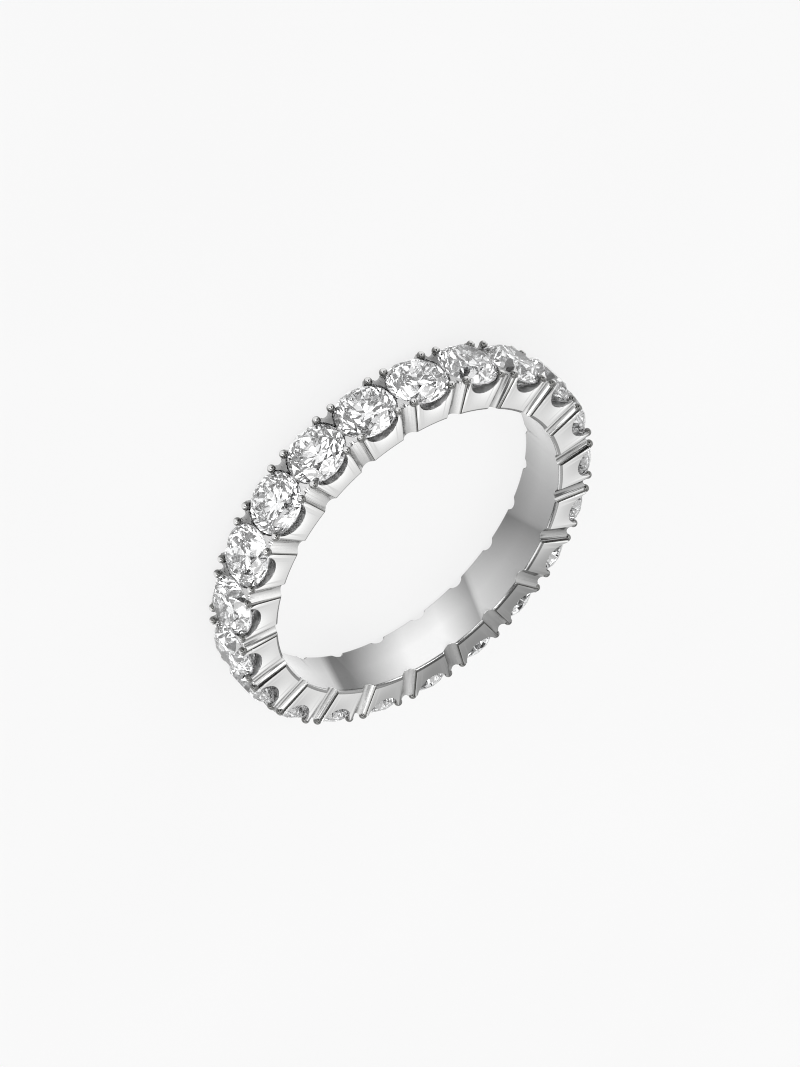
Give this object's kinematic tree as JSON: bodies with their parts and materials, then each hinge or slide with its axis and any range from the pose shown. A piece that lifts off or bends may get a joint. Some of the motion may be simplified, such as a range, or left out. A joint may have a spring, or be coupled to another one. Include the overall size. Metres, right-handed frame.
{
  "type": "finger ring",
  "caption": "Full eternity finger ring: a closed row of round brilliant stones in a polished white metal band with fluted sides, open scallops and shared beads.",
  "frame": {"origin": "middle of the underside of the bounding box, on the axis of the bore, level with the girdles that the ring lies on", "axes": "+Z along the axis of the bore, up from the side that the ring lies on; -Y points out through the first stone; numbers run anticlockwise seen from above"},
  "size_m": [0.0216, 0.0215, 0.003],
  "materials": {
    "metal": "polished white metal",
    "stone": "clear, facetted and polished"
  },
  "bodies": {
    "root": {"setting": "metal", "stone_01": "stone", "stone_02": "stone", "stone_03": "stone", "stone_04": "stone", "stone_05": "stone", "stone_06": "stone", "stone_07": "stone", "stone_08": "stone", "stone_09": "stone", "stone_10": "stone", "stone_11": "stone", "stone_12": "stone", "stone_13": "stone", "stone_14": "stone", "stone_15": "stone", "stone_16": "stone", "stone_17": "stone", "stone_18": "stone", "stone_19": "stone", "stone_20": "stone", "stone_21": "stone"}
  },
  "joints": []
}
